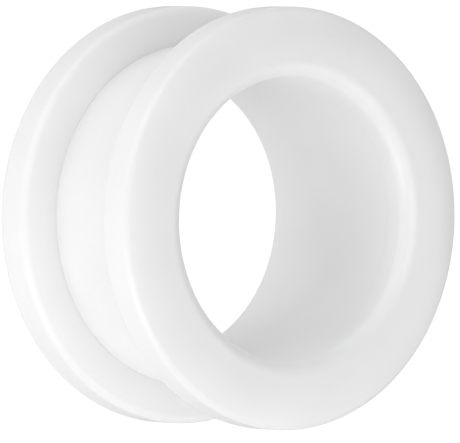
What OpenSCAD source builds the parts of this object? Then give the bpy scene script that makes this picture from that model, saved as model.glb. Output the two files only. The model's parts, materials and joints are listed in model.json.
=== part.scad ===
// A screw fit flesh tunnel: a hollow, flanged plug for a stretched ear lobe, in two halves that screw together.
// It lies on its back flange. Z runs along the tunnel, and Z = 0 is the flat land of the back flange's face.
// Sizes are in millimetres.

/* [Barrel] */
// Outside diameter of the barrel, which is the size of the piercing it fits
barrel_d = 20; // [16:1:30]
// Length of barrel between the flanges, where the lobe sits
lobe_l = 7.2; // [6:0.2:12]
// Thickness of the tunnel's wall, from the hole to the outside of the barrel
wall = 1.75; // [1.6:0.05:3]

/* [Flanges] */
// How far each flange stands out past the barrel
flange_reach = 2.3; // [1.8:0.1:4]
// Thickness of each flange at its land, the ring on which it is thickest
flange_t = 2.85; // [2.6:0.05:4]
// Width of the shoulder, the part of each outer face that curves down to the rim
shoulder_w = 2.4; // [1:0.1:2.4]
// How much thinner the shoulder leaves the flange at its rim
shoulder_drop = 0.5; // [0.2:0.05:0.8]
// Rounding of each rim's two edges
rim_r = 0.25; // [0.1:0.05:0.4]
// Rounding of the hole's edge in the front face
front_mouth_r = 1; // [0.2:0.05:1.1]
// Rounding of the hole's edge in the back face
back_mouth_r = 0.6; // [0.2:0.05:1.1]

/* [Screw] */
// Distance along the tunnel from one turn of the thread to the next
pitch = 1.2; // [0.8:0.1:1.6]
// Height of each thread's ridge
ridge_h = 0.22; // [0.15:0.01:0.35]
// Thickness of the spigot's wall between its ridges
spigot_wall = 0.5; // [0.4:0.05:0.6]
// Clearance between the crests of the two threads
crest_gap = 0.04; // [0.03:0.01:0.1]
// Gap left where the halves meet end to end
seat_gap = 0.02; // [0.01:0.01:0.1]
// Thickness of the lip in the front flange that the spigot's end meets
lip_t = 2; // [1.4:0.1:2.4]

/* [Hidden] */
$fn = 96;

// The tunnel's own diameters, as radii
barrel_r = barrel_d / 2;
flange_r = barrel_r + flange_reach;
bore_r = barrel_r - wall;

// The shoulder: an arc about a point deep under the land's outer edge, and how far round it runs to the rim
land_r = flange_r - shoulder_w;
shoulder_r = (pow(shoulder_w, 2) + pow(shoulder_drop, 2)) / (2 * shoulder_drop);
shoulder_turn = asin((shoulder_w - rim_r) / (shoulder_r - rim_r));

// Heights of the faces, from the table up
gap_low = flange_t;
gap_high = gap_low + lobe_l;
total_l = gap_high + flange_t;
lip_low = total_l - lip_t;
spigot_top = lip_low - seat_gap;

// Radii of the two threads, from the inside out
spigot_r = bore_r + spigot_wall;
spigot_crest_r = spigot_r + ridge_h;
socket_crest_r = spigot_crest_r + crest_gap;
socket_r = socket_crest_r + ridge_h;

// The ridge: its widths at root and crest, how deep it is set in its wall, and its run-out at each end
ridge_root_w = pitch * 0.6;
ridge_crest_w = pitch * 0.24;
ridge_set = 0.08;
run_out_turns = 0.3;
least_share = 0.02;
steps_per_turn = 40;

// Where the thread runs, with a plain stretch of wall past each end
plain_end = 0.9;
thread_low = gap_low + plain_end;
thread_high = spigot_top - plain_end;
thread_turns = (thread_high - thread_low - ridge_root_w) / pitch;
thread_steps = ceil(thread_turns * steps_per_turn);

// How far a cutting shape reaches past the solid that it cuts
over = 1;

// What rounds one corner of a section: all that lies outside a circle between two directions from its centre
module corner_cut(centre, r, from_turn, to_turn) {
    reach = 2 * r + over;
    turns = [from_turn, (from_turn + to_turn) / 2, to_turn];
    translate(centre) difference() {
        polygon(concat([[0, 0]], [for (turn = turns) reach * [cos(turn), sin(turn)]]));
        circle(r);
    }
}

// What curves the shoulder: all that lies above its arc, from the land's outer edge to past the rim
module shoulder_cut(face)
    difference() {
        translate([land_r, face - shoulder_drop - over]) square([shoulder_w + over, shoulder_drop + 2 * over]);
        translate([land_r, face - shoulder_r]) circle(shoulder_r);
    }

// Section of a flange with its outer face upward at the height given, and its inner face one thickness lower
module flange_section(face, mouth_r) {
    low = face - flange_t;
    rim_centre = face - shoulder_r + (shoulder_r - rim_r) * cos(shoulder_turn);
    difference() {
        translate([bore_r, low]) square([flange_r - bore_r, flange_t]);
        shoulder_cut(face);
        corner_cut([flange_r - rim_r, rim_centre], rim_r, 0, 90 - shoulder_turn);
        corner_cut([flange_r - rim_r, low + rim_r], rim_r, -90, 0);
        corner_cut([bore_r + mouth_r, face - mouth_r], mouth_r, 90, 180);
    }
}

// How much of its full height the ridge has at each step, from next to nothing at its ends to all of it
function ridge_share(step) =
    let (turns = step / steps_per_turn)
    max(least_share, min(1, turns / run_out_turns, (thread_turns - turns) / run_out_turns));

// One section of the ridge: root and crest, low and high; side is 1 outward from the root and -1 inward
function ridge_ring(step, root_r, side) =
    let (
        share = ridge_share(step),
        turn = 360 * step / steps_per_turn,
        mid = thread_low + ridge_root_w / 2 + pitch * step / steps_per_turn,
        set_r = root_r - side * ridge_set,
        crest_r = root_r + side * ridge_h * share,
        crest_w = ridge_root_w + (ridge_crest_w - ridge_root_w) * share
    )
    [for (corner = [[set_r, -ridge_root_w], [crest_r, -crest_w], [crest_r, crest_w], [set_r, ridge_root_w]])
        [corner[0] * cos(turn), corner[0] * sin(turn), mid + corner[1] / 2]];

// A thread's ridge, wound round the tunnel as a four-sided strip
module ridge(root_r, side) {
    points = [for (step = [0:thread_steps]) each ridge_ring(step, root_r, side)];
    last = 4 * thread_steps;
    sides = [for (step = [0:thread_steps - 1], k = [0:3])
        let (here = 4 * step, next = (k + 1) % 4)
        each [
            [here + k, here + 4 + k, here + next],
            [here + next, here + 4 + k, here + 4 + next]
        ]];
    ends = [[0, 1, 2], [0, 2, 3], [last, last + 2, last + 1], [last, last + 3, last + 2]];
    faces = [for (f = concat(sides, ends)) side > 0 ? [f[0], f[2], f[1]] : f];
    polyhedron(points, faces);
}

// Back half: the back flange and the threaded spigot that stands on it, moulded as one
module back_half() {
    color("whitesmoke") {
        rotate_extrude() union() {
            mirror([0, 1]) flange_section(0, back_mouth_r);
            translate([bore_r, gap_low - over]) square([spigot_wall, spigot_top - gap_low + over]);
        }
        ridge(spigot_r, 1);
    }
}

// Front half: the front flange and the barrel, moulded as one, with the thread inside the barrel
module front_half() {
    color("white") {
        rotate_extrude() difference() {
            union() {
                flange_section(total_l, front_mouth_r);
                translate([bore_r, gap_low + seat_gap]) square([wall, lobe_l]);
            }
            translate([0, gap_low - over]) square([socket_r, lip_low - gap_low + over]);
        }
        ridge(socket_r, -1);
    }
}

back_half();
front_half();
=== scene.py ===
# A white screw fit flesh tunnel, lying on its back flange on a white sheet under soft studio light.
# Lengths are in metres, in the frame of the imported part: Z runs up through the tunnel from the sheet.

import json
import math

import bmesh
import bpy
from mathutils import Matrix, Vector


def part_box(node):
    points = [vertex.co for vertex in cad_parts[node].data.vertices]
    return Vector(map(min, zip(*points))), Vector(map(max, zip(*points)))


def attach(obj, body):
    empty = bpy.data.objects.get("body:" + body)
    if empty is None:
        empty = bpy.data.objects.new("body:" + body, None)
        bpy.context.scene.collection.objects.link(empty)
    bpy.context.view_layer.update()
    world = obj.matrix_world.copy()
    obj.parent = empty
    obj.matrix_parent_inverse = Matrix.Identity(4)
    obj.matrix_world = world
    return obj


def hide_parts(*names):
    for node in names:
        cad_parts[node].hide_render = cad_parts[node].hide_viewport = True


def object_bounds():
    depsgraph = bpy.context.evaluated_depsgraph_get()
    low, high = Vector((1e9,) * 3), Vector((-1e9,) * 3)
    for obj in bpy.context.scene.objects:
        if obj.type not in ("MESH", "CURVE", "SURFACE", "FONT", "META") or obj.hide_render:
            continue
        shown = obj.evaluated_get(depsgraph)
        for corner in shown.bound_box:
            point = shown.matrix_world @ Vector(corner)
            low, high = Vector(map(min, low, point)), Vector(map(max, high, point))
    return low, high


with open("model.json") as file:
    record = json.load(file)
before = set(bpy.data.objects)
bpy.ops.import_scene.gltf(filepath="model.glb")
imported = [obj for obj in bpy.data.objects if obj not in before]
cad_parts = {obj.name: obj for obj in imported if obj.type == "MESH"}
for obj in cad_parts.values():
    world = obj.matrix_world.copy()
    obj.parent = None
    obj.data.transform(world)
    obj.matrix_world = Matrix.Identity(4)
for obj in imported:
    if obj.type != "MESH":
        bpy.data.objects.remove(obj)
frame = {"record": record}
cad_low, cad_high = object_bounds()

# Back half: the back flange with a threaded spigot standing on it, moulded in one piece of white acrylic.
# The other half screws down over the spigot, so that the flange and the lower part of the hole still show.
# Its outer face is a flat land that curves down to the rim, and polishing has rounded every edge a little.

MM = 0.001

# Radii and heights that both halves are built on
mounts = {m["name"]: m for m in frame["record"]["mounts"]}
bore_r = mounts["bore"]["dims"]["r_mm"] * MM
barrel_r = mounts["lobe_seat"]["dims"]["r_mm"] * MM
lobe_seat_l = mounts["lobe_seat"]["dims"]["length_mm"] * MM
barrel_end = mounts["lobe_seat"]["pos_m"][2] - lobe_seat_l / 2
back_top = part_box("back_half")[1]
flange_r = back_top.x
spigot_top = back_top.z
seat_gap = 0.02 * MM
gap_low = barrel_end - seat_gap
gap_high = barrel_end + lobe_seat_l
lip_low = spigot_top + seat_gap

# A flange's outer shoulder, the slight fall of its inner face, and the rounding of rim and mouth
shoulder_w = 2.4 * MM
shoulder_drop = 0.5 * MM
inner_shoulder_w = 1.6 * MM
inner_shoulder_drop = 0.15 * MM
rim_round = 0.5 * MM
back_mouth = 0.6 * MM

# Rounding of the inside corners and of the joint's edges in the hole, and the hairline between the halves
corner_fill = 0.04 * MM
seam_edge = 0.004 * MM
seam = 0.001 * MM

# The thread: its ridge, the length in which the ridge rises, the plain wall past it and the spigot's wall
pitch = 1.2 * MM
ridge_h = 0.22 * MM
ridge_root_w = 0.6 * pitch
ridge_crest_w = 0.24 * pitch
run_out = 0.5 * MM
plain_end = 0.9 * MM
spigot_wall = 0.5 * MM
spigot_r = bore_r + spigot_wall

# How fine the mesh is: columns round the tunnel, steps on each curve, how far from a corner the points are
# that keep its straight run flat, and how far apart the rows are under the thread
COLUMNS = 192
ARC_STEPS = 10
SHOULDER_STEPS = 24
SUPPORT = 0.04 * MM
THREAD_ROW = 0.05 * MM

# A point this close to a wall's radius is on the wall
ON_WALL = 0.01 * MM


def arc(centre, radius, start, end, steps=ARC_STEPS):
    """Points of one arc of a section, from one turn to another in degrees."""
    turns = [math.radians(start + (end - start) * k / steps) for k in range(steps + 1)]
    return [Vector(centre) + radius * Vector((math.cos(turn), math.sin(turn))) for turn in turns]


def eased_corner(width, drop, radius):
    """A shallow arc that eases into a rounded corner: its radius, its turn and the corner's depth."""
    arc_r = (width ** 2 + drop ** 2) / (2 * drop)
    turn = math.asin((width - radius) / (arc_r - radius))
    return arc_r, math.degrees(turn), arc_r - (arc_r - radius) * math.cos(turn)


def shoulder(face, up, width, drop):
    """The curve of a flange's face down to its rim, from the hole outward; up is 1 or -1."""
    arc_r, turn, depth = eased_corner(width, drop, rim_round)
    rim_turn = up * (90 - turn)
    long_arc = arc((flange_r - width, face - up * arc_r), arc_r, up * 90, rim_turn, SHOULDER_STEPS)
    rim_arc = arc((flange_r - rim_round, face - up * depth), rim_round, rim_turn, 0)
    return long_arc + rim_arc[1:]


def outline(arcs, threaded):
    """A closed section: arcs joined by straight runs, with the thread's rows on the run after one arc."""
    points = []
    for i, here in enumerate(arcs):
        run = arcs[(i + 1) % len(arcs)][0] - here[-1]
        way = run.normalized()
        points += here + [here[-1] + way * SUPPORT]
        if i == threaded:
            rows = round(run.length / THREAD_ROW)
            points += [here[-1] + run * k / rows for k in range(1, rows)]
        points.append(here[-1] + run - way * SUPPORT)
    return points


def turned(name, section):
    """A closed section turned about Z into one watertight piece."""
    rows = len(section)
    points = []
    faces = []
    for column in range(COLUMNS):
        turn = math.tau * column / COLUMNS
        points += [(r * math.cos(turn), r * math.sin(turn), z) for r, z in section]
        here, there = column * rows, (column + 1) % COLUMNS * rows
        for k in range(rows):
            after = (k + 1) % rows
            faces.append((here + k, there + k, there + after, here + after))
    mesh = bpy.data.meshes.new(name)
    mesh.from_pydata(points, [], faces)
    shell = bmesh.new()
    shell.from_mesh(mesh)
    bmesh.ops.recalc_face_normals(shell, faces=shell.faces)
    shell.to_mesh(mesh)
    shell.free()
    mesh.shade_smooth()
    piece = bpy.data.objects.new(name, mesh)
    bpy.context.collection.objects.link(piece)
    return piece


def node_makers(tree):
    """Makers of a tree's nodes, for numbers and for vectors, that take sockets and plain values alike."""
    def made(kind, operation, values):
        node = tree.nodes.new(kind)
        node.operation = operation
        for socket, value in zip(node.inputs, values):
            if isinstance(value, bpy.types.NodeSocket):
                tree.links.new(value, socket)
            else:
                socket.default_value = value
        return node

    def number(operation, *values):
        return made("ShaderNodeMath", operation, values).outputs[0]

    def vector(operation, *values):
        return made("ShaderNodeVectorMath", operation, values)

    return number, vector


def parts(tree, socket):
    """The X, Y and Z of a vector, each a socket."""
    split = tree.nodes.new("ShaderNodeSeparateXYZ")
    tree.links.new(socket, split.inputs[0])
    return split.outputs


def from_axis(tree, place):
    """How far a place is from the tunnel's axis, and the way out to it."""
    _, vector = node_makers(tree)
    flat = vector("MULTIPLY", place, (1, 1, 0)).outputs["Vector"]
    return vector("LENGTH", flat).outputs["Value"], vector("NORMALIZE", flat).outputs["Vector"]


def thread_tree():
    """Geometry nodes that raise a screw thread's ridge out of the wall at one radius."""
    tree = bpy.data.node_groups.new("raise_thread", "GeometryNodeTree")
    face = tree.interface
    face.new_socket("Geometry", in_out="INPUT", socket_type="NodeSocketGeometry")
    for label in (
        "Pitch", "Ridge Height", "Root Width", "Crest Width", "Wall Radius", "Low", "High", "Run Out",
    ):
        face.new_socket(label, in_out="INPUT", socket_type="NodeSocketFloat")
    face.new_socket("Material", in_out="INPUT", socket_type="NodeSocketMaterial")
    face.new_socket("Geometry", in_out="OUTPUT", socket_type="NodeSocketGeometry")
    given = tree.nodes.new("NodeGroupInput").outputs
    result = tree.nodes.new("NodeGroupOutput").inputs
    number, vector = node_makers(tree)

    def ramp(value, low, high):
        """Eases from 0 at the first end to 1 at the second."""
        node = tree.nodes.new("ShaderNodeMapRange")
        node.interpolation_type = "SMOOTHSTEP"
        tree.links.new(value, node.inputs["Value"])
        tree.links.new(low, node.inputs["From Min"])
        tree.links.new(high, node.inputs["From Max"])
        return node.outputs["Result"]

    # The ridge's form: how far each point is along the tunnel from the nearest crest
    place = tree.nodes.new("GeometryNodeInputPosition").outputs[0]
    x, y, z = parts(tree, place)
    turns = number("DIVIDE", number("ARCTAN2", y, x), math.tau)
    half_root = number("MULTIPLY", given["Root Width"], 0.5)
    half_crest = number("MULTIPLY", given["Crest Width"], 0.5)
    climb = number("DIVIDE", number("SUBTRACT", z, number("ADD", given["Low"], half_root)), given["Pitch"])
    share = number("FRACT", number("ADD", number("SUBTRACT", climb, turns), 0.5))
    off_crest = number("MULTIPLY", number("ABSOLUTE", number("SUBTRACT", share, 0.5)), given["Pitch"])
    form = ramp(off_crest, half_root, half_crest)

    # The ridge's height: it rises and falls at the thread's ends, and only points on the wall move
    rise = ramp(z, given["Low"], number("ADD", given["Low"], given["Run Out"]))
    fall = ramp(z, given["High"], number("SUBTRACT", given["High"], given["Run Out"]))
    full = number("MULTIPLY", form, number("MULTIPLY", rise, fall))
    height = number("MULTIPLY", full, given["Ridge Height"])
    radius, outward = from_axis(tree, place)
    on_wall = number("COMPARE", radius, given["Wall Radius"], ON_WALL)
    move = vector("SCALE", outward)
    tree.links.new(number("MULTIPLY", height, on_wall), move.inputs["Scale"])

    shift = tree.nodes.new("GeometryNodeSetPosition")
    tree.links.new(given["Geometry"], shift.inputs["Geometry"])
    tree.links.new(move.outputs[0], shift.inputs["Offset"])
    real = tree.nodes.new("GeometryNodeRealizeInstances")
    tree.links.new(shift.outputs[0], real.inputs[0])
    paint = tree.nodes.new("GeometryNodeSetMaterial")
    tree.links.new(real.outputs[0], paint.inputs["Geometry"])
    tree.links.new(given["Material"], paint.inputs["Material"])
    tree.links.new(paint.outputs[0], result[0])
    return tree


def cut_thread(piece, tree, sizes):
    """Runs the thread's tree on a piece and keeps the result as its plain mesh."""
    step = piece.modifiers.new("thread", "NODES")
    step.node_group = tree
    for item in tree.interface.items_tree:
        if item.item_type == "SOCKET" and item.in_out == "INPUT" and item.name in sizes:
            step[item.identifier] = sizes[item.name]
    raised = piece.evaluated_get(bpy.context.evaluated_depsgraph_get())
    made = bpy.data.meshes.new_from_object(raised)
    piece.modifiers.remove(step)
    blank, piece.data = piece.data, made
    bpy.data.meshes.remove(blank)
    made.name = piece.name


# The acrylic's milkiness: how much light passes under its surface, how deep, and the shades of its clouds
acrylic_ior = 1.49
milkiness = 0.1
milk_depth = 0.6 * MM
clouds_per_m = 220
cloud_detail = 2
cloud_shades = ((0.848, 0.848, 0.85, 1), (0.872, 0.872, 0.87, 1))

# Its gloss, in patches that go from one roughness to another
smears_per_m = 700
smear_detail = 3
roughness_span = (0.3, 0.36)

# The span that noise keeps to over most of a surface
noise_span = (0.3, 0.7)

# The buffing lines: how many there are, how deep they are, and the radius of the small ring on which their
# noise is read as they go round the tunnel, so that each line changes slowly along its length
lines_per_m = 3000
line_detail = 3
line_depth = 0.005 * MM
line_strength = 0.4
line_ring_r = 1.5 * MM


def noise(tree, place, per_m, detail):
    """A noise texture with so many patches to the metre."""
    node = tree.nodes.new("ShaderNodeTexNoise")
    node.inputs["Scale"].default_value = per_m
    node.inputs["Detail"].default_value = detail
    tree.links.new(place, node.inputs["Vector"])
    return node


def mapped(tree, value, span, onto):
    """A value that goes over one span, mapped onto another."""
    node = tree.nodes.new("ShaderNodeMapRange")
    for label, end in zip(("From Min", "From Max", "To Min", "To Max"), span + onto):
        node.inputs[label].default_value = end
    tree.links.new(value, node.inputs["Value"])
    return node.outputs["Result"]


def white_acrylic():
    """White acrylic: slightly milky, buffed on a wheel round its axis to a satin gloss."""
    material = bpy.data.materials.new("polished_white_acrylic")
    material.use_nodes = True
    tree = material.node_tree
    number, _ = node_makers(tree)
    shader = tree.nodes["Principled BSDF"].inputs
    shader["IOR"].default_value = acrylic_ior
    shader["Subsurface Weight"].default_value = milkiness
    shader["Subsurface Radius"].default_value = (1, 1, 1)
    shader["Subsurface Scale"].default_value = milk_depth
    place = tree.nodes.new("ShaderNodeTexCoord").outputs["Object"]

    milk = tree.nodes.new("ShaderNodeValToRGB")
    for stop, position, shade in zip(milk.color_ramp.elements, noise_span, cloud_shades):
        stop.position = position
        stop.color = shade
    cloud = noise(tree, place, clouds_per_m, cloud_detail)
    tree.links.new(cloud.outputs["Fac"], milk.inputs["Fac"])
    tree.links.new(milk.outputs["Color"], shader["Base Color"])

    smear = noise(tree, place, smears_per_m, smear_detail)
    tree.links.new(mapped(tree, smear.outputs["Fac"], noise_span, roughness_span), shader["Roughness"])

    radius, outward = from_axis(tree, place)
    way_x, way_y, _ = parts(tree, outward)
    line_place = tree.nodes.new("ShaderNodeCombineXYZ")
    tree.links.new(radius, line_place.inputs["X"])
    tree.links.new(parts(tree, place)["Z"], line_place.inputs["Y"])
    tree.links.new(number("MULTIPLY", way_x, line_ring_r), line_place.inputs["Z"])
    lines = noise(tree, line_place.outputs["Vector"], lines_per_m, line_detail)
    lines.noise_dimensions = "4D"
    tree.links.new(number("MULTIPLY", way_y, line_ring_r), lines.inputs["W"])
    buff = tree.nodes.new("ShaderNodeBump")
    buff.inputs["Strength"].default_value = line_strength
    buff.inputs["Distance"].default_value = line_depth
    tree.links.new(lines.outputs["Fac"], buff.inputs["Height"])
    tree.links.new(buff.outputs["Normal"], shader["Normal"])
    return material


thread = thread_tree()
thread_sizes = {
    "Pitch": pitch,
    "Root Width": ridge_root_w,
    "Crest Width": ridge_crest_w,
    "Low": gap_low + plain_end,
    "High": spigot_top - plain_end,
    "Run Out": run_out,
    "Material": white_acrylic(),
}

back_piece = turned("back_flange_and_spigot", outline([
    arc((bore_r + back_mouth, back_mouth), back_mouth, 180, 270),
    shoulder(0, -1, shoulder_w, shoulder_drop),
    shoulder(gap_low, 1, inner_shoulder_w, inner_shoulder_drop)[::-1],
    arc((spigot_r + corner_fill, gap_low + corner_fill), corner_fill, 270, 180),
    arc((spigot_r - corner_fill, spigot_top - corner_fill), corner_fill, 0, 90),
    arc((bore_r + seam_edge, lip_low - seam - seam_edge), seam_edge, 90, 180),
], threaded=3))
cut_thread(back_piece, thread, thread_sizes | {"Wall Radius": spigot_r, "Ridge Height": ridge_h})
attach(back_piece, "back")
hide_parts("back_half")

# Front half: the front flange with the whole barrel hanging from it, moulded in one piece of white acrylic.
# The barrel is threaded inside and screws down over the spigot until its end meets the back flange.
# A narrow lip inside the flange closes over the spigot's end, so that the hole is smooth right through.

front_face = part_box("front_half")[1].z
crest_gap = 0.04 * MM
socket_r = spigot_r + 2 * ridge_h + crest_gap
barrel_edge = 0.02 * MM
front_mouth = 0.9 * MM

front_piece = turned("front_flange_and_barrel", outline([
    arc((bore_r + front_mouth, front_face - front_mouth), front_mouth, 180, 90),
    shoulder(front_face, 1, shoulder_w, shoulder_drop),
    shoulder(gap_high, -1, inner_shoulder_w, inner_shoulder_drop)[::-1],
    arc((barrel_r + corner_fill, gap_high - corner_fill), corner_fill, 90, 180),
    arc((barrel_r - barrel_edge, gap_low + seam + barrel_edge), barrel_edge, 0, -90),
    arc((socket_r + corner_fill, gap_low + seam + corner_fill), corner_fill, 270, 180),
    arc((socket_r - corner_fill, lip_low - corner_fill), corner_fill, 0, 90),
    arc((bore_r + seam_edge, lip_low + seam_edge), seam_edge, 270, 180),
], threaded=5))
cut_thread(front_piece, thread, thread_sizes | {"Wall Radius": socket_r, "Ridge Height": -ridge_h})
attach(front_piece, "front")
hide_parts("front_half")

# The sheet under the tunnel: plain white, lit from below as a light table is, so that it shows no shadow.
# It is no part of the object. The gloss mirrors less light than it sheds, as if it were dim further out.

sheet_w = 4
sheet_glow = 1.05
mirrored_glow = 0.3


def by_ray(tree, kind, others, these):
    """A number that is one thing for rays of one kind and another for all others."""
    ray = tree.nodes.new("ShaderNodeLightPath")
    return mapped(tree, ray.outputs[kind], (0, 1), (others, these))


bpy.ops.mesh.primitive_plane_add(size=sheet_w)
sheet = bpy.context.object
sheet.name = "white_sheet"
light_table = bpy.data.materials.new("white_sheet")
light_table.use_nodes = True
table_tree = light_table.node_tree
table_tree.nodes.clear()
lit = table_tree.nodes.new("ShaderNodeEmission")
shown = table_tree.nodes.new("ShaderNodeOutputMaterial")
table_tree.links.new(
    by_ray(table_tree, "Is Glossy Ray", sheet_glow, mirrored_glow), lit.inputs["Strength"]
)
table_tree.links.new(lit.outputs["Emission"], shown.inputs["Surface"])
sheet.data.materials.append(light_table)

# Camera: a long lens, 38 degrees off the tunnel's axis, rolled so that the axis runs across the picture.
# Its sizes in pixels come from fitting it to the outlines of flanges and hole.

picture_w_px = 460
px_per_mm = 17.08
lens_px = 8300
off_axis = 0.664
roll = 0.036
centre_right_px = -0.56
centre_up_px = 5.1
sensor_w_mm = 36
nearest = 0.01
farthest = 10

camera_data = bpy.data.cameras.new("camera")
camera_data.sensor_width = sensor_w_mm
camera_data.lens = sensor_w_mm * lens_px / picture_w_px
camera_data.clip_start = nearest
camera_data.clip_end = farthest
camera = bpy.data.objects.new("camera", camera_data)
bpy.context.collection.objects.link(camera)

# The way back to the camera, and from it the picture's right, which the axis runs along, and its up
back = Vector((0, -math.sin(off_axis), math.cos(off_axis)))
along = Vector((0, math.cos(off_axis), math.sin(off_axis)))
across = Vector((-1, 0, 0))
right = along * math.cos(roll) + across * math.sin(roll)
up = across * math.cos(roll) - along * math.sin(roll)
centre = (cad_low + cad_high) / 2
distance = lens_px / px_per_mm * MM
centre_right = centre_right_px / px_per_mm * MM
centre_up = centre_up_px / px_per_mm * MM
stand = centre + back * distance - right * centre_right - up * centre_up
camera.matrix_world = Matrix((
    (right.x, up.x, back.x, stand.x),
    (right.y, up.y, back.y, stand.y),
    (right.z, up.z, back.z, stand.z),
    (0, 0, 0, 1),
))
bpy.context.scene.camera = camera

# Light: large soft round lamps a metre away, in a dim white room that the camera sees as plain white.
# About half of their light comes in low over the sheet, and most of it from the camera's side.

room_glow = 0.08
seen_room_glow = 1

room = bpy.data.worlds.new("room")
room.use_nodes = True
room_light = room.node_tree.nodes["Background"].inputs
room_light["Color"].default_value = (1, 1, 1, 1)
room.node_tree.links.new(
    by_ray(room.node_tree, "Is Camera Ray", room_glow, seen_room_glow), room_light["Strength"]
)
bpy.context.scene.world = room

lamp_w = 0.8
lamp_distance = 1

# Height of each lamp over the sheet and its turn from the camera's side, both in degrees, and its watts
lamps = [
    (12, 40, 4.9),
    (12, 280, 2.1),
    (12, 320, 2.6),
    (36, 80, 0.9),
    (36, 120, 2.1),
    (36, 160, 1.8),
    (36, 240, 1.3),
    (62, 0, 1.8),
    (62, 60, 1.3),
    (62, 300, 1.2),
]
for height_deg, turn_deg, watts in lamps:
    height, turn = math.radians(height_deg), math.radians(turn_deg)
    level = math.cos(height)
    way = Vector((level * math.sin(turn), -level * math.cos(turn), math.sin(height)))
    lamp_data = bpy.data.lights.new("lamp", "AREA")
    lamp_data.shape = "DISK"
    lamp_data.size = lamp_w
    lamp_data.energy = watts
    lamp = bpy.data.objects.new("lamp", lamp_data)
    lamp.location = centre + way * lamp_distance
    lamp.rotation_euler = way.to_track_quat("Z", "Y").to_euler()
    bpy.context.collection.objects.link(lamp)

bpy.context.scene.view_settings.view_transform = "Standard"
